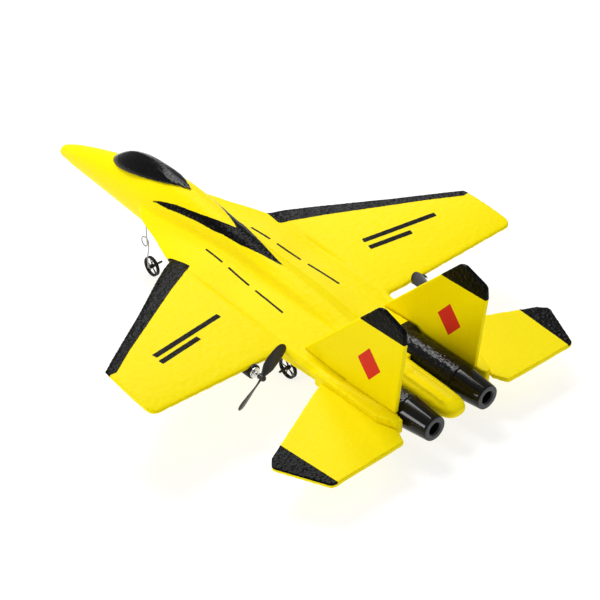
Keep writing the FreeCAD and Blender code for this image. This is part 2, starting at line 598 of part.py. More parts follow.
def export_electronics():
    export("electronics_box", make_box_shell())
    export("battery_hatch", make_hatch())
    export("hatch_hinge_pin", cylinder_x(0.4, HINGE_Y, HINGE_Z, -11.4, 11.4))
    export("battery", make_battery())
    export("receiver_board", make_board())
    export("board_screws", *[make_screw(x) for x in SCREW_XS])
    export("battery_leads", battery_lead(-2.6), battery_lead(2.6))
    export("antenna_wire", bent_wire([(11.0, -25.9, -11.8), (11.0, -8.4, -11.8),
                                      (-11.0, -8.4, -11.8)], 0.3, 2.0))
    body = block(SWITCH_X, SWITCH_Y, 4.4, 1.9, BOX_Z0 + 1.45, BOX_Z0 + 5.4)
    export("switch_body",
           body.cut(block(SWITCH_X, SWITCH_Y, 2.4, 0.9, BOX_Z0 + 1, BOX_Z0 + 3.0)))
    export("switch_knob", block(SWITCH_X - 1.2, SWITCH_Y, 1.1, 0.8, BOX_Z0 - 1.3, BOX_Z0 + 2.9))
    export("charge_socket", make_charge_socket())


# ---------------------------------------------------------------- build
def export_airframe():
    core = body_loft(CORE)
    export("canopy", largest(body_loft(CANOPY).cut(core)))
    fuselage = make_fuselage(core)
    port_wing = make_wing()
    port_fin = make_fin(fuselage)
    tailplane = make_tailplane()
    spar = cylinder(SPAR_R, SPAR_INNER + V(0.2, 0, 0.02), SPAR_OUTER)
    export("wing_spars", spar, mirror(spar))
    drilled = fuselage      # the ducts are fitted to the foam before the lead bores
    leads = []
    for name, side in SIDES:
        x = side * MOTOR_X
        wing, fin, tail = port_wing, port_fin, tailplane
        if side < 0:
            wing, fin, tail = mirror(wing), mirror(fin), mirror(tail)
        bore = lead_bore(side)
        export("wing_" + name, largest(wing.cut(bore)))
        export("fin_" + name, fin)
        export("tailplane_" + name, tail)
        export("duct_" + name, make_duct(side, fuselage, fin))
        export("nozzle_" + name, make_nozzle(side))
        export("motor_pod_" + name, largest(make_pod(side, wing).cut(bore)))
        export("motor_can_" + name, make_motor_can(x))
        export("motor_shaft_" + name,
               cylinder_y(SHAFT_R, x, MOTOR_Z, POD_Y1 - 9.6, PROP_Y + 2.4))
        export("propeller_" + name, make_propeller(side, PROP_ANGLE[name]))
        drilled = drilled.cut(bore)
        leads += [motor_lead(side, offset) for offset in (-LEAD_GAP, LEAD_GAP)]
    export("motor_leads", *leads)
    # seat of the main gear plate
    drilled = drilled.cut(block(0, MAIN_WHEEL[1], 15.7, 4.7, -40, -20.0))
    export("fuselage_foam", largest(drilled))


os.makedirs("parts", exist_ok=True)
export_airframe()
export_nose_gear()
export_main_gear()
export_electronics()
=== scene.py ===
"""A twin-propeller foam model aeroplane on wire landing gear, standing on a pale floor.

Shapes are written in the body frame, in millimetres: +X to port, +Y to the tail, +Z up.
to_scene() tilts them so that all three wheels meet the floor, and turns them into metres.
"""
import bpy, bmesh, math, random
import numpy as np
from mathutils import Vector, Matrix, noise


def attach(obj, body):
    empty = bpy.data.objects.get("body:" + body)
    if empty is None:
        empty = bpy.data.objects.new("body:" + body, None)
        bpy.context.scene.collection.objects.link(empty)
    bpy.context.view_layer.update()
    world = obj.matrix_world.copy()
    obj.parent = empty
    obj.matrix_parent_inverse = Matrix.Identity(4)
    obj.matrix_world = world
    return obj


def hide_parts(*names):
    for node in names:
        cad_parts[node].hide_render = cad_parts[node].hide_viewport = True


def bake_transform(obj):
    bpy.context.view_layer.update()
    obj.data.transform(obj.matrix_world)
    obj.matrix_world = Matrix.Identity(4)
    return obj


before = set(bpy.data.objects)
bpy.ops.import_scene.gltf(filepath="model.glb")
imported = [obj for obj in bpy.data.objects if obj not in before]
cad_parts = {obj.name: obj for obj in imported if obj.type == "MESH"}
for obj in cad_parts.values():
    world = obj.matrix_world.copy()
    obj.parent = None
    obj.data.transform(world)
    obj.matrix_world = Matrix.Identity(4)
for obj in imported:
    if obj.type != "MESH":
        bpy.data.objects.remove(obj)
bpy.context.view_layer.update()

random.seed(7)
scene = bpy.context.scene

SIDES = (("port", 1), ("starboard", -1))

# Wheel centres; the main one is the port wheel.
NOSE_WHEEL = (0.0, -161.5, -67.0)
MAIN_WHEEL = (20.0, 4.8, -46.1)

# ---------------------------------------------------------------- body and scene frames
PITCH = -math.atan((MAIN_WHEEL[2] - NOSE_WHEEL[2]) / (MAIN_WHEEL[1] - NOSE_WHEEL[1]))
SHIFT = np.array([0.0, 64.375, 53.687])
TILT = np.array([[1, 0, 0],
                 [0, math.cos(PITCH), -math.sin(PITCH)],
                 [0, math.sin(PITCH), math.cos(PITCH)]])


def to_scene(points):
    return (np.asarray(points, float) @ TILT.T + SHIFT) / 1000.0


def to_body(points):
    return (np.asarray(points, float) * 1000.0 - SHIFT) @ TILT


# ---------------------------------------------------------------- mesh helpers
def vertex_field(mesh, field):
    values = np.empty(len(mesh.vertices) * 3)
    mesh.vertices.foreach_get(field, values)
    return values.reshape(-1, 3)


def set_coords(mesh, points):
    """Moves the vertices to scene-frame points."""
    mesh.vertices.foreach_set("co", np.asarray(points, float).ravel())
    mesh.update()


def body_points(mesh):
    return to_body(vertex_field(mesh, "co"))


def body_normals(mesh):
    return vertex_field(mesh, "normal") @ TILT


def smooth_shading(mesh):
    mesh.polygons.foreach_set("use_smooth", [True] * len(mesh.polygons))


def make(name, vertices, faces, material=None, body=None, slot=None, replaces=()):
    """A smooth-shaded object from body-frame vertices."""
    mesh = bpy.data.meshes.new(name)
    mesh.from_pydata([tuple(p) for p in to_scene(vertices)], [], [tuple(f) for f in faces])
    mesh.validate()
    obj = bpy.data.objects.new(name, mesh)
    scene.collection.objects.link(obj)
    bm = bmesh.new()
    bm.from_mesh(mesh)
    bmesh.ops.recalc_face_normals(bm, faces=bm.faces)
    bm.to_mesh(mesh)
    bm.free()
    smooth_shading(mesh)
    if material:
        mesh.materials.append(material)
    if body:
        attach(obj, body)
    if replaces:
        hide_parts(*replaces)
    return obj


def geometry(obj):
    """Body-frame vertices and the faces of an object."""
    return body_points(obj.data), [tuple(p.vertices) for p in obj.data.polygons]


def take_geometry(obj):
    """Geometry of a temporary object, which is then removed."""
    parts = geometry(obj)
    bpy.data.objects.remove(obj)
    return parts


def join(pieces):
    """Joins (vertices, faces) pairs into one pair."""
    all_faces, offset = [], 0
    for vertices, faces in pieces:
        all_faces += [tuple(i + offset for i in face) for face in faces]
        offset += len(vertices)
    return np.vstack([vertices for vertices, _ in pieces]), all_faces


def ring_faces(rings, sides, loop=False):
    """Quads between successive rings; the ends are capped, or meet when loop is set."""
    faces = []
    for i in range(rings if loop else rings - 1):
        here, after = i * sides, (i + 1) % rings * sides
        for j in range(sides):
            k = (j + 1) % sides
            faces.append((here + j, here + k, after + k, after + j))
    if not loop:
        faces.append(tuple(range(sides - 1, -1, -1)))
        faces.append(tuple((rings - 1) * sides + j for j in range(sides)))
    return faces


def voxel(obj, size):
    """Rebuilds the mesh as one skin with the given voxel size."""
    modifier = obj.modifiers.new("v", "REMESH")
    modifier.mode = "VOXEL"
    modifier.voxel_size = size / 1000.0
    modifier.adaptivity = 0.0
    depsgraph = bpy.context.evaluated_depsgraph_get()
    mesh = bpy.data.meshes.new_from_object(obj.evaluated_get(depsgraph))
    obj.modifiers.clear()
    old = obj.data
    for material in old.materials:
        if material.name not in [m.name for m in mesh.materials if m]:
            mesh.materials.append(material)
    obj.data = mesh
    bpy.data.meshes.remove(old)
    smooth_shading(mesh)


def relax(obj, steps, weight=None, keep_volume=True):
    """Laplacian smoothing; each step is a Taubin pair when keep_volume is set."""
    shrink, swell = 0.5, 0.53
    mesh = obj.data
    edges = np.empty(len(mesh.edges) * 2, int)
    mesh.edges.foreach_get("vertices", edges)
    start, end = edges.reshape(-1, 2).T
    count = len(mesh.vertices)
    degree = np.bincount(edges, minlength=count).astype(float)
    degree[degree == 0] = 1
    points = vertex_field(mesh, "co")
    weight = 1.0 if weight is None else weight[:, None]

    def laplacian(points):
        total = np.empty_like(points)
        for k in range(3):
            total[:, k] = (np.bincount(start, points[end, k], count)
                           + np.bincount(end, points[start, k], count))
        return total / degree[:, None] - points

    for _ in range(steps):
        points = points + laplacian(points) * shrink * weight
        if keep_volume:
            points = points - laplacian(points) * swell * weight
    set_coords(mesh, points)


def grain(obj, coarse=0.10, coarse_size=3.0, fine=0.05, fine_size=1.5):
    """Low wrinkles and beads of moulded foam, as displacement along the normals."""
    points = vertex_field(obj.data, "co")
    height = np.array([
        coarse * noise.noise((x / coarse_size, y / coarse_size, z / coarse_size))
        + fine * noise.noise((x / fine_size + 9.0, y / fine_size, z / fine_size))
        for x, y, z in (points * 1000.0).tolist()])
    set_coords(obj.data, points + vertex_field(obj.data, "normal") * height[:, None] / 1000.0)


def smoothstep(t):
    t = np.clip(t, 0, 1)
    return t * t * (3 - 2 * t)


# ---------------------------------------------------------------- materials
class Finish:
    """A Principled material being built, textured in object space."""

    def __init__(self, name):
        self.material = bpy.data.materials.new(name)
        self.material.use_nodes = True
        self.tree = self.material.node_tree
        self.tree.nodes.clear()
        output = self.tree.nodes.new("ShaderNodeOutputMaterial")
        self.shader = self.tree.nodes.new("ShaderNodeBsdfPrincipled")
        self.tree.links.new(self.shader.outputs["BSDF"], output.inputs["Surface"])
        self.place = self.node("ShaderNodeTexCoord", {}, "Object")

    def feed(self, socket, value):
        """Links a socket, or sets a plain value; colours are given without alpha."""
        if isinstance(value, bpy.types.NodeSocket):
            self.tree.links.new(value, socket)
        else:
            socket.default_value = (*value, 1) if socket.type == "RGBA" else value

    def node(self, kind, inputs, output=0, **settings):
        node = self.tree.nodes.new(kind)
        for key, value in settings.items():
            setattr(node, key, value)
        for key, value in inputs.items():
            self.feed(node.inputs[key], value)
        return node.outputs[output]

    def set(self, **inputs):
        """Feeds shader inputs; an underscore stands for a space."""
        for key, value in inputs.items():
            self.feed(self.shader.inputs[key.replace("_", " ")], value)

    def noise(self, scale, detail, roughness=0.5, vector=None):
        inputs = {"Vector": vector or self.place, "Scale": scale, "Detail": detail,
                  "Roughness": roughness}
        return self.node("ShaderNodeTexNoise", inputs, "Fac")

    def cells(self, scale):
        inputs = {"Vector": self.place, "Scale": scale}
        return self.node("ShaderNodeTexVoronoi", inputs, "Distance", feature="SMOOTH_F1")

    def math(self, operation, a, b):
        return self.node("ShaderNodeMath", {0: a, 1: b}, operation=operation)

    def weighted_sum(self, a, a_weight, b, b_weight):
        return self.math("ADD", self.math("MULTIPLY", a, a_weight),
                         self.math("MULTIPLY", b, b_weight))

    def ramp(self, value, span, to=(0.0, 1.0)):
        inputs = {0: value, 1: span[0], 2: span[1], 3: to[0], 4: to[1]}
        return self.node("ShaderNodeMapRange", inputs)

    def mix(self, amount, a, b):
        return self.node("ShaderNodeMix", {0: amount, 2: a, 3: b}, data_type="FLOAT")

    def mix_colour(self, amount, a, b):
        return self.node("ShaderNodeMix", {0: amount, 6: a, 7: b}, 2, data_type="RGBA")

    def bump(self, height, strength, distance):
        inputs = {"Strength": strength, "Distance": distance, "Height": height}
        self.set(Normal=self.node("ShaderNodeBump", inputs, "Normal"))


def foam(name, paint_specular, paint_roughness):
    """Yellow bead foam; black and red zones are signed distances held on the mesh."""
    fin = Finish(name)
    broad = fin.noise(scale=28.0, detail=2.0)
    grains = fin.noise(scale=420.0, detail=3.0)
    cells = fin.cells(scale=520.0)
    fine = fin.noise(scale=1700.0, detail=2.0)
    edge_noise = fin.noise(scale=900.0, detail=2.0)
    ragged = fin.math("MULTIPLY", fin.math("SUBTRACT", edge_noise, 0.5), 0.5)

    def mask(attribute, softness, raggedness):
        distance = fin.node("ShaderNodeAttribute", {}, "Fac", attribute_name=attribute)
        edge = fin.math("ADD", distance, fin.math("MULTIPLY", ragged, raggedness))
        return fin.ramp(edge, span=(softness, -softness))

    paint = mask("paint", softness=0.10, raggedness=1.0)
    mark = mask("mark", softness=0.08, raggedness=0.5)
    emblem = mask("emblem", softness=0.08, raggedness=0.5)

    cell_tint = fin.ramp(cells, span=(0.25, 0.75), to=(0.0, 0.12))
    yellow = fin.mix_colour(broad, (0.87, 0.715, 0.000), (0.91, 0.755, 0.001))
    yellow = fin.mix_colour(cell_tint, yellow, (0.76, 0.59, 0.0))
    black = fin.mix_colour(fin.ramp(grains, span=(0.35, 0.7)),
                           (0.002, 0.002, 0.0023), (0.005, 0.005, 0.0058))
    colour = fin.mix_colour(emblem, yellow, (0.62, 0.030, 0.018))
    colour = fin.mix_colour(mark, colour, (0.003, 0.0028, 0.0025))
    fin.set(Base_Color=fin.mix_colour(paint, colour, black))

    # Bare foam comes first in each pair, paint second.
    fin.set(Roughness=fin.mix(paint, fin.ramp(grains, span=(0.3, 0.7), to=(0.34, 0.50)),
                              fin.ramp(fine, span=(0.3, 0.7), to=paint_roughness)))
    height = fin.mix(paint, fin.weighted_sum(cells, 0.55, grains, 0.6),
                     fin.weighted_sum(cells, 0.9, grains, 1.5))
    fin.bump(height, strength=fin.ramp(paint, span=(0.0, 1.0), to=(0.30, 0.95)),
             distance=0.00035)
    printed = fin.math("MAXIMUM", paint, mark)
    fin.set(Specular_IOR_Level=fin.mix(printed, 0.05, paint_specular))
    return fin.material


def black_foam(name):
    """Black paint over foam grain."""
    fin = Finish(name)
    grains = fin.noise(scale=520.0, detail=4.0, roughness=0.6)
    cells = fin.cells(scale=620.0)
    fin.set(Base_Color=fin.mix_colour(fin.ramp(grains, span=(0.35, 0.7)),
                                      (0.002, 0.002, 0.0022), (0.005, 0.005, 0.0055)),
            Roughness=fin.ramp(grains, span=(0.3, 0.7), to=(0.10, 0.20)),
            Specular_IOR_Level=0.12)
    height = fin.math("ADD", cells, fin.math("MULTIPLY", grains, 1.4))
    fin.bump(height, strength=0.26, distance=0.0004)
    return fin.material


def plastic(name, dark, light, roughness, scale=1500, bump=0.15, bump_depth=0.00005,
            speck=None, specular=0.3):
    """Two close tones with a fine grain, and specks of a third colour if one is given."""
    fin = Finish(name)
    broad = fin.noise(scale=70.0, detail=3.0)
    grains = fin.noise(scale=scale, detail=4.0, roughness=0.6)
    colour = fin.mix_colour(broad, dark, light)
    if speck:
        specks = fin.noise(scale=scale * 2.2, detail=2.0)
        specks = fin.ramp(specks, span=(0.62, 0.7), to=(0.0, 0.5))
        colour = fin.mix_colour(specks, colour, speck)
    fin.set(Base_Color=colour, Roughness=fin.ramp(broad, span=(0.3, 0.7), to=roughness),
            Coat_Roughness=0.08, Specular_IOR_Level=specular)
    fin.bump(grains, strength=bump, distance=bump_depth)
    return fin.material


def metal(name, dark, light, roughness, stretch, scale=600.0):
    """Metal with noise drawn out along the axis that has a small stretch value."""
    fin = Finish(name)
    mapped = fin.node("ShaderNodeMapping", {"Scale": stretch, "Vector": fin.place}, "Vector")
    grains = fin.noise(scale=scale, detail=4.0, roughness=0.7, vector=mapped)
    fin.set(Base_Color=fin.mix_colour(grains, dark, light), Metallic=1.0,
            Roughness=fin.ramp(grains, span=(0.3, 0.7), to=roughness))
    fin.bump(grains, strength=0.15, distance=0.00003)
    return fin.material


MATERIALS = {
    "foam": foam("foam_printed", paint_specular=0.045, paint_roughness=(0.14, 0.30)),
    "black_foam": black_foam("foam_black"),
    "duct": foam("duct_black", paint_specular=0.22, paint_roughness=(0.13, 0.27)),
    "nozzle": plastic("nozzle_gloss", (0.003, 0.003, 0.0032), (0.005, 0.005, 0.0055),
                      roughness=(0.09, 0.16), scale=1400, bump=0.04, specular=0.22),
    "nozzle_end": plastic("nozzle_rim", (0.030, 0.031, 0.033), (0.052, 0.054, 0.057),
                          roughness=(0.3, 0.45), scale=1400, specular=0.25),
    "pod": plastic("pod_black", (0.005, 0.005, 0.0055), (0.010, 0.010, 0.0105),
                   roughness=(0.3, 0.45), scale=1200, bump=0.25, specular=0.2),
    "prop": plastic("prop_grey", (0.016, 0.015, 0.013), (0.026, 0.024, 0.021),
                    roughness=(0.22, 0.34), scale=1100, bump=0.12, specular=0.35),
    "can": metal("motor_can", (0.62, 0.62, 0.64), (0.80, 0.80, 0.81),
                 roughness=(0.16, 0.3), stretch=(1, 0.06, 1)),
    # A spare finish that no piece wears.
    "cap": plastic("motor_cap", (0.72, 0.71, 0.67), (0.80, 0.79, 0.74),
                   roughness=(0.35, 0.5), bump=0.1),
    "wire": metal("spring_wire", (0.23, 0.23, 0.24), (0.40, 0.40, 0.41),
                  roughness=(0.2, 0.38), stretch=(1, 1, 0.08)),
    "wheel": plastic("wheel_black", (0.005, 0.005, 0.0055), (0.010, 0.010, 0.011),
                     roughness=(0.28, 0.42), bump=0.2, specular=0.2),
    "sleeve": plastic("sleeve_black", (0.010, 0.010, 0.010), (0.02, 0.02, 0.02),
                      roughness=(0.5, 0.65), bump=0.3),
    "box": plastic("box_black", (0.013, 0.013, 0.014), (0.022, 0.022, 0.024),
                   roughness=(0.4, 0.55), scale=1900, bump=0.5, bump_depth=0.00008),
    "carbon": plastic("spar_fibre", (0.012, 0.012, 0.013), (0.03, 0.03, 0.032),
                      roughness=(0.25, 0.4), scale=500, bump=0.3),
    "board": plastic("board_green", (0.01, 0.10, 0.035), (0.015, 0.13, 0.05),
                     roughness=(0.3, 0.45), scale=1300, bump=0.2, speck=(0.5, 0.4, 0.12)),
    "cell": metal("cell_foil", (0.55, 0.56, 0.58), (0.75, 0.76, 0.78),
                  roughness=(0.25, 0.5), stretch=(1, 1, 1), scale=160),
    "lead": plastic("lead_red", (0.40, 0.012, 0.010), (0.50, 0.02, 0.015),
                    roughness=(0.4, 0.55)),
    "lead_black": plastic("lead_black", (0.010, 0.010, 0.010), (0.02, 0.02, 0.02),
                          roughness=(0.4, 0.55)),
    "socket": plastic("socket_white", (0.72, 0.70, 0.62), (0.80, 0.78, 0.70),
                      roughness=(0.35, 0.5)),
}

# ---------------------------------------------------------------- printed zones
# Each zone is a signed distance in mm, negative inside; NOWHERE keeps a zone empty.
NOWHERE = 50.0

# Outline of one arm of the V on the deck, as (|x|, y).
DECK_V = [
    (15.4, -136.5), (13.4, -124.5), (11.6, -114.3), (9.8, -104.1), (7.6, -93.3), (5.4, -85.0),
    (3.0, -76.5), (0.0, -67.0), (-0.1, -66.0), (-0.1, -21.0), (0.0, -21.0), (1.9, -32.5),
    (3.6, -42.0), (5.2, -49.5), (6.7, -56.5), (7.8, -64.7), (8.8, -73.4), (9.9, -82.2),
    (10.9, -91.1), (12.1, -100.5), (13.3, -109.5), (14.6, -120.0)]
# Outline of the black along each wing's leading edge, as (|x|, y).
LEADING_EDGE = [
    (36.4, -69.6), (40.3, -90.5), (60, -88), (150, -22), (150, -6), (140.5, -5.2),
    (121, -18.6), (92, -36.6), (62.8, -54.8)]
# Straight bars on the wings: start (x, y), end (x, y), half width.
WING_BARS = [
    ((113.2, -5.6), (55.6, -17.2), 1.9), ((113.6, 1.0), (80.0, -5.9), 1.9),
    ((-62.6, -17.6), (-114.0, -4.6), 2.0), ((-61.2, -10.0), (-91.0, -2.6), 2.0)]
# Broken line down each side of the deck: y at the start and end of each dash.
DECK_DASHES = [(-76, -58), (-52, -30), (-24, 4)]
DASH_HALF_WIDTH = 0.75


def polygon_distance(X, Y, polygon):
    """Signed distance to a polygon, negative inside."""
    nearest = np.full(len(X), 1e9)
    inside = np.zeros(len(X), bool)
    for (ax, ay), (bx, by) in zip(polygon, polygon[1:] + polygon[:1]):
        ex, ey = bx - ax, by - ay
        t = np.clip(((X - ax) * ex + (Y - ay) * ey) / (ex * ex + ey * ey), 0, 1)
        nearest = np.minimum(nearest, np.hypot(X - ax - t * ex, Y - ay - t * ey))
        crossing = ax + (Y - ay) * ex / (ey if ey else 1e-12)
        inside ^= ((ay > Y) != (by > Y)) & (X < crossing)
    return np.where(inside, -nearest, nearest)


def bar_distance(X, Y, start, end, half_width):
    """Signed distance to a straight bar."""
    ax, ay = start
    bx, by = end
    length = math.hypot(bx - ax, by - ay)
    ux, uy = (bx - ax) / length, (by - ay) / length
    along = (X - ax) * ux + (Y - ay) * uy
    across = -(X - ax) * uy + (Y - ay) * ux
    return np.maximum(np.abs(along - length / 2) - length / 2, np.abs(across) - half_width)


def set_zones(mesh, paint, mark=None, emblem=None):
    for name, zone in (("paint", paint), ("mark", mark), ("emblem", emblem)):
        if zone is None:
            zone = np.full(len(paint), NOWHERE)
        attribute = mesh.attributes.new(name, "FLOAT", "POINT")
        attribute.data.foreach_set("value", np.asarray(zone, np.float32))


def airframe_zones(mesh):
    X, Y, _ = body_points(mesh).T
    normal_z = body_normals(mesh)[:, 2]
    facing_up = (0.05 - normal_z) * 3.0
    not_below = (-0.25 - normal_z) * 4.0
    deck = np.maximum(polygon_distance(np.abs(X), Y, DECK_V), facing_up)
    edge = np.maximum(polygon_distance(np.abs(X), Y, LEADING_EDGE), not_below)

    def dash_end(side, y):
        return side * (18.6 + (y + 76) * 0.055), y

    dashes = [(dash_end(side, y0), dash_end(side, y1), DASH_HALF_WIDTH)
              for side in (1, -1) for y0, y1 in DECK_DASHES]
    bars = np.full(len(X), NOWHERE)
    for start, end, half_width in WING_BARS + dashes:
        bars = np.minimum(bars, bar_distance(X, Y, start, end, half_width))
    set_zones(mesh, np.minimum(deck, edge), mark=np.maximum(bars, facing_up))


def fin_zones(mesh):
    """Black tip, and a red diamond on both faces."""
    _, Y, Z = body_points(mesh).T
    diamond = (np.abs(Y - 91.5) / 9.6 + np.abs(Z - 15.0) / 11.6 - 1.0) * 7.4
    facing_sideways = (0.6 - np.abs(body_normals(mesh)[:, 0])) * 5
    set_zones(mesh, (43.2 + (Y - 100) * 0.02) - Z, emblem=np.maximum(diamond, facing_sideways))


def tail_zones(mesh):
    """Black beyond a slanting line across each tailplane."""
    X, Y, Z = body_points(mesh).T
    outboard = (96.8 - 3.8 * (Y - 87.3) / 44.3) - np.abs(X)
    set_zones(mesh, np.maximum(outboard, -13.3 - Z))


def duct_zones(mesh):
    """The sloping fairing in front stays yellow; the tube behind it is black."""
    _, Y, Z = body_points(mesh).T
    set_zones(mesh, 59.0 + 0.25 * (Z + 4.0) - Y)


# ---------------------------------------------------------------- foam airframe
# Boxes that fill the fin and tail joints: |x|, y and z ranges.
JOINT_FILLS = [((31.0, 34.0), (71.5, 104.5), (-13.5, -9.1)),
               ((38.0, 42.5), (67.5, 104.5), (-15.9, -11.8))]
BOX_FACES = [(0, 1, 3, 2), (4, 6, 7, 5), (0, 4, 5, 1), (2, 3, 7, 6), (0, 2, 6, 4), (1, 5, 7, 3)]
WING_ROOT_X, WING_SPAN = 42.9, 102.1
WING_TUCK = 2.2     # how far the wing root slides into the fuselage


def relief(mesh):
    """Low ridges and grooves on the deck, the hump and the tail spine, raised along body Z."""
    X, Y, _ = body_points(mesh).T
    A = np.abs(X)
    taper = (Y - 30.0) * 0.082
    # Distance from the line, width, height, first y, last y, length of the fade at each end.
    beads = [
        (A - 8.9, 1.6, 0.80, -78, 72, 8.0),                         # edges of the raised spine
        (X, 2.0, 0.60, -30, 70, 8.0),                               # crest line
        (A - (40.6 - taper), 1.7, 0.75, 22, 111, 10.0),             # foot of each fin
        (A - (40.2 - taper - 4.2), 1.6, -0.35, 26, 108, 10.0),      # groove inboard of it
        (A - 4.7, 1.15, 1.35, 84, 129, 6.0),                        # tail spine edges
        (X, 2.2, -0.75, 88, 127, 6.0),                              # groove between them
    ]
    height = 0
    for distance, width, amount, y0, y1, fade in beads:
        ridge = np.exp(-(distance / width) ** 2) * amount
        height += ridge * smoothstep((Y - y0) / fade) * smoothstep((y1 - Y) / fade)
    height *= smoothstep((body_normals(mesh)[:, 2] - 0.15) / 0.4)
    set_coords(mesh, vertex_field(mesh, "co") + height[:, None] * TILT[:, 2] / 1000.0)


def airframe():
    """Fuselage, deck and wings as one skin."""
    nodes = ("fuselage_foam", "wing_port", "wing_starboard")
    pieces = [geometry(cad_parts[name]) for name in nodes]
    for (vertices, _), side in zip(pieces[1:], (1, -1)):
        out = vertices[:, 0] * side
        tuck = WING_TUCK * (1 - (out - WING_ROOT_X) / WING_SPAN)
        vertices[:, 0] = side * (out - tuck)
    for side in (1, -1):
        for x_range, y_range, z_range in JOINT_FILLS:
            corners = [(x, y, z) for x in sorted(side * x for x in x_range)
                       for y in y_range for z in z_range]
            pieces.append((np.array(corners, float), BOX_FACES))
    obj = make("foam_airframe", *join(pieces), MATERIALS["foam"])
    voxel(obj, 0.8)
    X, Y, Z = body_points(obj.data).T
    A = np.abs(X)
    relax(obj, 3)

    # Let the wing roots, the hump's foot and the front of the deck flow together.
    roots = np.clip(1.0 - np.abs(A - 42.0) / 7.0, 0, 1) * (Y < 55) * (Y > -140)
    hump = np.clip(1.0 - np.abs(A - 15.5) / 8.0, 0, 1) * (Z > -8) * (Y < 60) * (Y > -175)
    front = np.clip(1.0 - np.abs(Y + 146.0) / 22.0, 0, 1) * (A > 8) * (Z > -20)
    weight = np.maximum(np.maximum(roots, hump), front) * (Z > -9.5)
    relax(obj, 26, weight, keep_volume=False)
    relax(obj, 2)
    relief(obj.data)
    grain(obj)
    airframe_zones(obj.data)
    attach(obj, "airframe")
    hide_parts(*nodes)


airframe()


# ---------------------------------------------------------------- separate foam parts
def foam_part(name, node, size, finish, material="foam", steps=3,
              grain_height=0.05, reshape=None):
    """A CAD node re-skinned as foam; reshape runs before the grain, finish after it."""
    obj = make(name, *geometry(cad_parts[node]), MATERIALS[material])
    voxel(obj, size * (1.0))
    relax(obj, steps, keep_volume=False)
    relax(obj, 2)
    if reshape:
        reshape(obj.data)
    grain(obj, grain_height, 3.0, grain_height * 0.6, 1.4)
    finish(obj.data)
    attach(obj, "airframe")
    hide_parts(node)


def tuck_tail_root(mesh):
    """Sinks the tailplane's root edge into the side of the boom."""
    points = body_points(mesh)
    A = np.abs(points[:, 0])
    points[:, 0] = np.sign(points[:, 0]) * (A - 1.6 * smoothstep((52.0 - A) / 10.0))
    set_coords(mesh, to_scene(points))


def canopy_shape(mesh):
    """Draws the rear point out along the hump and raises a crease along the crest."""
    points = body_points(mesh)
    X, Y, Z = points.T      # views, so changes land in points
    normal_z = body_normals(mesh)[:, 2]
    behind = np.maximum(Y + 138.0, 0)
    Y += behind * 0.135
    Z += behind * 0.022
    crease = np.clip(1 - np.abs(X) / 2.6, 0, 1) ** 1.3
    crease = crease * smoothstep((Y + 184) / 14) * smoothstep((-117 - Y) / 8)
    Z += 0.55 * crease * smoothstep(normal_z / 0.4)
    span = smoothstep((Y + 196) / 20) * smoothstep((-122 - Y) / 22)
    crown = 1.5 * np.exp(-(X / 5.5) ** 2) - 0.8 * smoothstep((np.abs(X) - 5.5) / 3.0)
    Z += span * crown * smoothstep((normal_z + 0.9) / 0.5)
    X *= 1 + 0.06 * span + 0.20 * smoothstep((Y + 150) / 22)
    set_coords(mesh, to_scene(points))


for side_name, _ in SIDES:
    foam_part("fin_foam_" + side_name, "fin_" + side_name, 0.55, fin_zones)
    foam_part("tailplane_foam_" + side_name, "tailplane_" + side_name, 0.6, tail_zones,
              reshape=tuck_tail_root)
    foam_part("duct_skin_" + side_name, "duct_" + side_name, 0.55, duct_zones,
              material="duct", grain_height=0.11)
foam_part("canopy_blister", "canopy", 0.5, canopy_shape, material="black_foam",
          steps=4, grain_height=0.06)


# ---------------------------------------------------------------- turned parts
def round_corners(points, radius, steps=3, reach=0.45):
    """Rounds the corners of an open path; reach caps the cut as a share of each leg."""
    points = [np.array(p, float) for p in points]
    path = [points[0]]
    for before, corner, after in zip(points, points[1:], points[2:]):
        back, ahead = before - corner, after - corner
        back_length, ahead_length = np.linalg.norm(back), np.linalg.norm(ahead)
        cut = min(radius, back_length * reach, ahead_length * reach)
        start = corner + back / back_length * cut
        end = corner + ahead / ahead_length * cut
        for k in range(steps + 1):
            s = k / steps
            path.append((1 - s) ** 2 * start + 2 * s * (1 - s) * corner + s * s * end)
    path.append(points[-1])
    return path


ALONG_X, ALONG_Y = (1, 0, 0), (0, 1, 0)


def lathe(name, profile, centre, axis, segments, **options):
    """Revolves (radius, height) pairs about an axis through centre.

    Radius 0 closes an end; a profile with no end on the axis closes on itself.
    """
    axis = np.array(axis, float)
    across = np.cross(axis, [0.0, 0.0, 1.0])
    down = np.cross(axis, across)
    vertices, faces, rows = [], [], []
    for radius, height in profile:
        foot = np.array(centre, float) + axis * height
        count = 1 if radius < 1e-6 else segments
        rows.append(list(range(len(vertices), len(vertices) + count)))
        for k in range(count):
            t = 2 * math.pi * k / segments
            vertices.append(foot + (across * math.cos(t) + down * math.sin(t)) * radius)
    pairs = list(zip(rows, rows[1:]))
    if len(rows[0]) > 1 and len(rows[-1]) > 1:
        pairs.append((rows[-1], rows[0]))
    for p, q in pairs:
        for k in range(segments):
            k2 = (k + 1) % segments
            if len(p) == 1:
                faces.append((p[0], q[k], q[k2]))
            elif len(q) == 1:
                faces.append((p[k], p[k2], q[0]))
            else:
                faces.append((p[k], p[k2], q[k2], q[k]))
    return make(name, np.array(vertices), faces, **options)


# Nozzle cones behind the ducts; the profile is (radius, distance behind the cone's front).
NOZZLE_X, NOZZLE_Z = 21.3, -13.0
NOZZLE_Y = 112.5 + 0.25     # duct end plus a gap
NOZZLE_PROFILE = [
    (0.0, -4.6), (6.6, -4.6), (6.6, 0.0), (9.9, 0.0), (10.2, 0.35), (10.15, 1.2), (8.05, 20.0),
    (7.75, 21.5), (4.6, 21.5), (4.05, 20.6), (4.0, 8.0), (0.0, 8.0)]


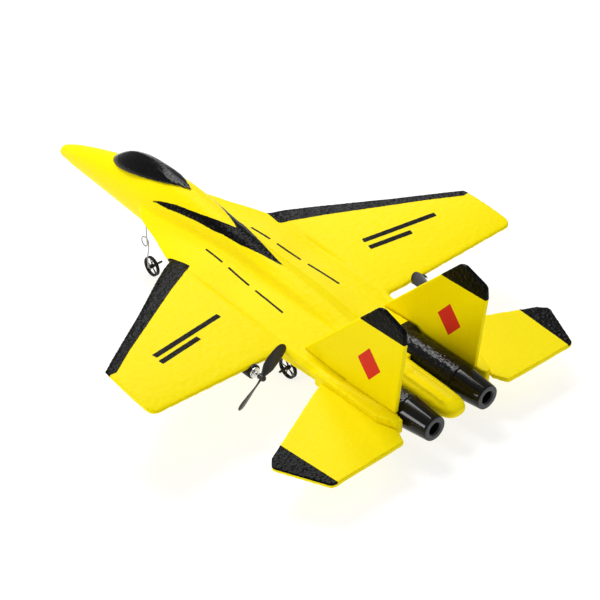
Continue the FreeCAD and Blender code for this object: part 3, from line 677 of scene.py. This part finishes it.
def nozzle(side_name, side):
    """A glossy cone with a paler rim and mouth at its rear."""
    centre_x = side * NOZZLE_X
    obj = lathe("nozzle_cone_" + side_name, round_corners(NOZZLE_PROFILE, 0.4),
                (centre_x, NOZZLE_Y, NOZZLE_Z), ALONG_Y, 96, material=MATERIALS["nozzle"],
                body="airframe", slot="nozzle_black", replaces=("nozzle_" + side_name,))
    obj.data.materials.append(MATERIALS["nozzle_end"])
    for polygon in obj.data.polygons:
        x, y, z = to_body([polygon.center])[0]
        in_mouth = math.hypot(x - centre_x, z - NOZZLE_Z) < 4.4 and y > NOZZLE_Y + 19
        if y > NOZZLE_Y + 21.3 or in_mouth:
            polygon.material_index = 1


for side_name, side in SIDES:
    nozzle(side_name, side)

# ---------------------------------------------------------------- motors and propellers
MOTOR_X, PROP_Y, MOTOR_Z = 68.6, 37.9, -8.4
POD_REAR = 30.9
# (radius, distance behind the pod's rear end)
CAN_PROFILE = [
    (0.0, -15.9), (3.5, -15.9), (3.5, -0.4), (3.44, -0.2), (3.5, 0.0), (3.5, 1.0), (3.3, 1.5),
    (2.4, 1.62), (1.55, 1.7), (1.5, 2.8), (0.56, 2.85), (0.56, 1.0), (0.0, 1.0)]
# (radius, distance behind the propeller's plane)
HUB_PROFILE = [
    (0.52, -2.3), (1.6, -2.3), (1.85, -2.0), (1.85, -1.3), (1.7, -1.15), (1.7, 1.2),
    (1.85, 1.35), (1.85, 1.9), (1.5, 2.5), (1.0, 2.9), (0.52, 2.95)]
SHAFT_RADIUS, SHAFT_TIP_RADIUS = 0.5, 0.35


def motor(side_name, side):
    centre = (side * MOTOR_X, 0.0, MOTOR_Z)
    can = [(radius, POD_REAR + y) for radius, y in CAN_PROFILE]
    lathe("motor_can_" + side_name + "_shell", round_corners(can, 0.18), centre, ALONG_Y, 64,
          material=MATERIALS["can"], body="airframe", slot="motor_steel",
          replaces=("motor_can_" + side_name,))
    front, shoulder, tip = POD_REAR - 9.6, PROP_Y + 2.2, PROP_Y + 2.4
    shaft = [(0.0, front), (SHAFT_RADIUS, front), (SHAFT_RADIUS, shoulder),
             (SHAFT_TIP_RADIUS, tip), (0.0, tip)]
    lathe("motor_shaft_" + side_name + "_pin", round_corners(shaft, 0.08), centre, ALONG_Y, 32,
          material=MATERIALS["wire"], body="prop_" + side_name, slot="wire_steel",
          replaces=("motor_shaft_" + side_name,))


def blade(root=1.2, tip=23.5, spans=34, sides=28):
    """One blade: radius along +X, shaft along +Y."""
    vertices = []
    for i in range(spans + 1):
        r = root + (tip - root) * (1 - (1 - i / spans) ** 1.35)
        k = r / tip
        chord = np.interp(k, [0.05, 0.15, 0.3, 0.5, 0.7, 0.85, 0.93, 0.975, 1.0],
                          [2.6, 4.4, 7.0, 8.0, 8.0, 7.4, 6.0, 4.0, 0.5])
        twist = math.radians(np.interp(k, [0.05, 0.2, 0.35, 0.55, 0.8, 1.0],
                                       [48, 40, 32, 24, 17, 13.5]))
        thickness = np.interp(k, [0.05, 0.2, 0.5, 0.9, 1.0], [1.5, 1.15, 0.85, 0.6, 0.25])
        sweep = np.interp(k, [0, 0.5, 1.0], [0, -0.25, 0.5])
        for j in range(sides):
            t = 2 * math.pi * j / sides
            u = chord / 2 * math.cos(t) + sweep
            skin = thickness / 2 * (math.sin(t) * (1 + 0.25 * math.cos(t)))
            camber = 0.055 * chord * (1 - ((u - sweep) * 2 / chord) ** 2)
            w = skin + camber
            vertices.append((r, w * math.cos(twist) + u * math.sin(twist),
                             u * math.cos(twist) - w * math.sin(twist)))
    return np.array(vertices), ring_faces(spans + 1, sides)


def turn_about_y(points, degrees):
    """Turns +X towards +Z."""
    c, s = math.cos(math.radians(degrees)), math.sin(math.radians(degrees))
    x, y, z = points.T
    return np.stack([c * x - s * z, y, s * x + c * z], 1)


def propeller(side_name, side, angle):
    """Two blades and a hub; the starboard propeller is mirrored."""
    centre = (side * MOTOR_X, PROP_Y, MOTOR_Z)
    vertices, faces = blade()
    vertices = vertices * np.array([side, 1, 1.0])
    pieces = [(turn_about_y(vertices, angle + turn) + np.array(centre), faces)
              for turn in (0, 180)]
    hub = lathe("tmp_hub", round_corners(HUB_PROFILE, 0.15), centre, ALONG_Y, 48)
    pieces.append(take_geometry(hub))
    make("propeller_" + side_name + "_blades", *join(pieces), MATERIALS["prop"],
         "prop_" + side_name, "prop_grey", ("propeller_" + side_name,))


for side_name, side in SIDES:
    motor(side_name, side)
for (side_name, side), angle in zip(SIDES, (138.0, 45.0)):
    propeller(side_name, side, angle)

# ---------------------------------------------------------------- landing gear wires
WIRE_RADIUS = 0.42
COIL_CENTRE = (3.2, -164.4, -46.5)      # where the coil starts
COIL_RADIUS, COIL_ADVANCE = 3.4, 1.15
COIL_DEGREES, COIL_STEPS = 352.0, 48
SPRING_TOP = -16.6
LEG_STEP = 0.5
BOW_TOP = (12.6, -22.0)     # half width and z of the bow's straight top
SLEEVE_RADIUS = 0.8
SLEEVE_GAP = 1.85       # from a wheel's centre to the near end of a sleeve


def tube(name, path, radius=WIRE_RADIUS, sides=14, **options):
    """A round wire along a path, with narrowed ends."""
    path = np.array(path, float)
    tangents = np.gradient(path, axis=0)
    tangents /= np.linalg.norm(tangents, axis=1)[:, None]
    first, last = tangents[0], tangents[-1]
    normal = np.cross(first, [0.3, 0.2, 1.0])
    normal /= np.linalg.norm(normal)

    def ring(centre, tangent, radius):
        other = np.cross(tangent, normal)
        turns = [2 * math.pi * k / sides for k in range(sides)]
        return [centre + (normal * math.cos(t) + other * math.sin(t)) * radius for t in turns]

    vertices = ring(path[0] - first * radius * 0.25, first, radius * 0.6)
    for point, tangent in zip(path, tangents):
        normal = normal - tangent * (normal @ tangent)
        normal /= np.linalg.norm(normal)
        vertices += ring(point, tangent, radius)
    vertices += ring(path[-1] + last * radius * 0.25, last, radius * 0.6)
    return make(name, np.array(vertices), ring_faces(len(path) + 2, sides),
                MATERIALS["wire"], slot="wire_steel", **options)


def nose_gear():
    """A post and one coil on the airframe, and a leg from the coil to the axle."""
    x, y, z = COIL_CENTRE
    post_y = y + COIL_RADIUS
    coil = [(x, post_y, height) for height in np.linspace(SPRING_TOP, z, 12)]
    for i in range(1, COIL_STEPS + 1):
        a = math.radians(COIL_DEGREES) * i / COIL_STEPS
        coil.append((x - COIL_ADVANCE * i / COIL_STEPS,
                     y + COIL_RADIUS * math.cos(a), z - COIL_RADIUS * math.sin(a)))
    tube("nose_spring_wire", coil, body="airframe", replaces=("nose_gear_spring",))

    _, end_y, end_z = coil[-1]
    leg_x = x - COIL_ADVANCE
    wheel_x, wheel_y, wheel_z = NOSE_WHEEL
    leg = round_corners([
        (leg_x, end_y - 0.02, end_z + 0.05), (leg_x, post_y + 0.02, z - 1.6),
        (leg_x, wheel_y + 0.4, z - 5.0), (leg_x + 1.15, wheel_y, z - 11.0),
        (leg_x + 1.15, wheel_y, wheel_z), (wheel_x - 9.0, wheel_y, wheel_z)],
        0.9, steps=7, reach=0.48)
    dense = []
    for p, q in zip(leg, leg[1:]):
        count = max(1, int(np.linalg.norm(q - p) / LEG_STEP))
        dense += [p + (q - p) * k / count for k in range(count)]
    dense.append(leg[-1])
    obj = tube("nose_leg_wire", dense)
    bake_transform(obj)
    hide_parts("nose_gear_leg")


def main_gear():
    x, y, z = MAIN_WHEEL
    top_x, top_z = BOW_TOP
    bow = [(x + 7.4, y, z), (x - 3.6, y, z), (top_x, y, top_z),
           (-top_x, y, top_z), (-x + 3.6, y, z), (-x - 7.4, y, z)]
    tube("main_gear_bow", round_corners(bow, 1.8, steps=8, reach=0.48),
         body="airframe", replaces=("main_gear_wire",))


def sleeves(name, spans, y, z, body, node):
    """Sleeves on an axle wire, one for each (start x, end x)."""
    pieces = []
    bore, outer = WIRE_RADIUS, SLEEVE_RADIUS
    for start, end in spans:
        length = end - start
        profile = [(bore, 0), (outer - 0.08, 0), (outer, 0.12), (outer * 0.97, length * 0.5),
                   (outer, length - 0.12), (outer - 0.08, length), (bore, length)]
        pieces.append(take_geometry(lathe(
            "tmp_sleeve", round_corners(profile, 0.1, steps=2), (start, y, z), ALONG_X, 32)))
    make(name, *join(pieces), MATERIALS["sleeve"], body, "sleeve_black", (node,))


nose_gear()
main_gear()
nose_x, nose_y, nose_z = NOSE_WHEEL
main_x, main_y, main_z = MAIN_WHEEL
sleeves("nose_axle_sleeve", [(nose_x - 8.6, nose_x - SLEEVE_GAP)], nose_y, nose_z,
        "nose_leg", "nose_axle_collars")
sleeves("main_axle_sleeves",
        [(main_x + SLEEVE_GAP, main_x + 7.0), (-main_x - 7.0, -main_x - SLEEVE_GAP)],
        main_y, main_z, "airframe", "main_axle_collars")

# ---------------------------------------------------------------- wheels
WHEEL_RADIUS = 7.35
RIM_STEPS, RIM_SIDES = 72, 12
RIM_X, RIM_HALF_WIDTH, RIM_HALF_DEPTH = 0.96, 0.30, 0.44
# Section of the thin web between the rims: (x, radius).
WEB_SECTION = [(-0.95, WHEEL_RADIUS - 0.72), (0.95, WHEEL_RADIUS - 0.72),
               (0.95, WHEEL_RADIUS - 0.46), (-0.95, WHEEL_RADIUS - 0.46)]
SPOKE_START, SPOKE_END = 1.2, 0.8       # from the axis, and in from the wheel's radius
SPOKE_STEPS, SPOKE_SIDES = 10, 10
# (radius, x)
WHEEL_HUB_PROFILE = [(0.47, -1.6), (1.2, -1.6), (1.45, -1.3), (1.5, 0.0), (1.45, 1.3),
                     (1.2, 1.6), (0.47, 1.6)]


def wheel_ring(section):
    """An (x, radius) section carried round the axle."""
    vertices = []
    for i in range(RIM_STEPS):
        a = 2 * math.pi * i / RIM_STEPS
        vertices += [(x, r * math.cos(a), r * math.sin(a)) for x, r in section]
    return np.array(vertices), ring_faces(RIM_STEPS, len(section), loop=True)


def rim_section(side):
    """A squarish oval."""
    def squarish(value):
        return math.copysign(abs(value) ** 0.8, value)

    angles = [2 * math.pi * j / RIM_SIDES for j in range(RIM_SIDES)]
    return [(side * RIM_X + RIM_HALF_WIDTH * squarish(math.sin(b)),
             WHEEL_RADIUS - RIM_HALF_DEPTH + RIM_HALF_DEPTH * squarish(math.cos(b)))
            for b in angles]


def spoke(side, angle):
    """A slightly curved spoke, thinnest halfway, leaning out to the rim on one side."""
    vertices = []
    for i in range(SPOKE_STEPS + 1):
        q = i / SPOKE_STEPS
        bulge = math.sin(math.pi * q)
        r = SPOKE_START + (WHEEL_RADIUS - SPOKE_END - SPOKE_START) * q
        half_width = 0.44 - 0.12 * bulge
        x = side * (0.30 + 0.62 * q)
        a = angle + 0.10 * bulge
        outward = np.array([0, math.cos(a), math.sin(a)])
        across = np.array([0, -math.sin(a), math.cos(a)])
        for j in range(SPOKE_SIDES):
            b = 2 * math.pi * j / SPOKE_SIDES
            vertices.append(outward * r + across * half_width * math.cos(b)
                            + np.array([x + 0.34 * math.sin(b), 0, 0]))
    return np.array(vertices), ring_faces(SPOKE_STEPS + 1, SPOKE_SIDES)


def wheel(name, centre, node, turn):
    """Two thin rims, a web, four spokes to each rim and a hub."""
    pieces = [wheel_ring(rim_section(side)) for side in (-1, 1)]
    pieces.append(wheel_ring(WEB_SECTION))
    for k in range(4):
        for side, offset in ((-1, 0), (1, 45)):
            pieces.append(spoke(side, math.radians(90 * k + turn + offset)))
    hub = lathe("tmp_h", round_corners(WHEEL_HUB_PROFILE, 0.2), (0, 0, 0), ALONG_X, 36)
    pieces.append(take_geometry(hub))
    vertices, faces = join(pieces)
    make(name, vertices + np.array(centre), faces, MATERIALS["wheel"], node, "wheel_black",
         (node,))


wheel("nose_wheel_rims", NOSE_WHEEL, "nose_wheel", 20)
wheel("main_wheel_rims_port", MAIN_WHEEL, "main_wheel_port", 30)
wheel("main_wheel_rims_starboard", (-main_x, main_y, main_z), "main_wheel_starboard", 70)

# ---------------------------------------------------------------- CAD nodes that stay
# Node: material, and the width of its edge bevel in mm (0 for none).
KEPT_NODES = {
    "wing_spars": ("carbon", 0),
    "motor_pod_port": ("pod", 0.35),
    "motor_pod_starboard": ("pod", 0.35),
    "nose_gear_socket": ("pod", 0.4),
    "main_gear_plate": ("pod", 0.5),
    "electronics_box": ("box", 0.35),
    "battery_hatch": ("box", 0.25),
    "hatch_hinge_pin": ("wire", 0),
    "battery": ("cell", 0),
    "receiver_board": ("board", 0),
    "board_screws": ("can", 0),
    "battery_leads": ("lead", 0),
    "antenna_wire": ("lead_black", 0),
    "switch_body": ("can", 0.2),
    "switch_knob": ("pod", 0.2),
    "charge_socket": ("socket", 0.15),
    "motor_leads": ("lead", 0),
}
for name, (material, bevel_width) in KEPT_NODES.items():
    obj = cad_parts[name]
    obj.data.materials.clear()
    obj.data.materials.append(MATERIALS[material])
    for polygon in obj.data.polygons:
        polygon.material_index = 0
    if bevel_width:
        weld = obj.modifiers.new("weld", "WELD")
        weld.merge_threshold = 0.00001
        bevel = obj.modifiers.new("edge", "BEVEL")
        bevel.width = bevel_width / 1000.0
        bevel.segments = 3
        bevel.limit_method = "ANGLE"
        bevel.angle_limit = math.radians(40)
        bevel.harden_normals = True


# ---------------------------------------------------------------- floor, world and lights
def pale_floor(half=6):
    fin = Finish("floor_pale")
    tone = fin.mix_colour(fin.noise(scale=3.0, detail=2.0), (0.30, 0.30, 0.30),
                          (0.32, 0.32, 0.32))
    fin.set(Base_Color=tone, Roughness=0.9, Specular_IOR_Level=0.1,
            Emission_Color=(1, 1, 1), Emission_Strength=0.78)
    mesh = bpy.data.meshes.new("floor")
    corners = [(-half, -half, 0), (half, -half, 0), (half, half, 0), (-half, half, 0)]
    mesh.from_pydata(corners, [], [(0, 1, 2, 3)])
    floor = bpy.data.objects.new("floor", mesh)
    scene.collection.objects.link(floor)
    mesh.materials.append(fin.material)


def area_light(name, place, aim_height, size, power, size_y=None):
    """An area light aimed at a point on the scene's vertical axis."""
    light = bpy.data.lights.new(name, "AREA")
    light.energy = power
    light.size = size
    if size_y:
        light.shape = "RECTANGLE"
        light.size_y = size_y
    obj = bpy.data.objects.new(name, light)
    scene.collection.objects.link(obj)
    obj.location = place
    aim = Vector((0, 0, aim_height)) - Vector(place)
    obj.rotation_euler = aim.to_track_quat("-Z", "Y").to_euler()


pale_floor()
world = bpy.data.worlds.new("studio")
scene.world = world
world.use_nodes = True
background = world.node_tree.nodes["Background"]
background.inputs["Color"].default_value = (1, 1, 1, 1)
background.inputs["Strength"].default_value = 0.40
area_light("key", (-0.10, -0.48, 1.50), aim_height=0.02, size=0.62, power=15.5, size_y=0.6)
area_light("starboard", (-0.85, -0.84, 1.12), aim_height=0.02, size=0.42, power=5.5)
area_light("side", (1.30, -0.38, 0.53), aim_height=0.03, size=0.42, power=7.5)
area_light("back", (-0.9, 1.2, 1.0), aim_height=0.03, size=0.8, power=1.5)

# ---------------------------------------------------------------- camera
# It looks at the body frame's origin; azimuth runs from the nose towards port.
AZIMUTH, ELEVATION = math.radians(138.7322), math.radians(36.0445)
ROLL = math.radians(0.0283)
CAMERA_DISTANCE = 1144.62


def add_camera():
    back = np.array([math.sin(AZIMUTH) * math.cos(ELEVATION),
                     -math.cos(AZIMUTH) * math.cos(ELEVATION), math.sin(ELEVATION)])
    level = np.cross(-back, [0, 0, 1.0])
    level /= np.linalg.norm(level)
    upright = np.cross(level, -back)
    right = level * math.cos(ROLL) + upright * math.sin(ROLL)
    up = -level * math.sin(ROLL) + upright * math.cos(ROLL)
    pose = np.eye(4)
    pose[:3, :3] = TILT @ np.column_stack([right, up, back])
    pose[:3, 3] = to_scene(back * CAMERA_DISTANCE)
    camera = bpy.data.cameras.new("camera")
    obj = bpy.data.objects.new("camera", camera)
    scene.collection.objects.link(obj)
    obj.matrix_world = Matrix(pose.tolist())
    camera.sensor_width = 36.0
    camera.sensor_fit = "HORIZONTAL"
    camera.lens = 112.1244
    camera.shift_x = -0.01197667
    camera.shift_y = -0.01431333
    camera.clip_start = 0.01
    camera.clip_end = 50
    scene.camera = obj


add_camera()
scene.view_settings.view_transform = "Standard"
scene.view_settings.look = "None"
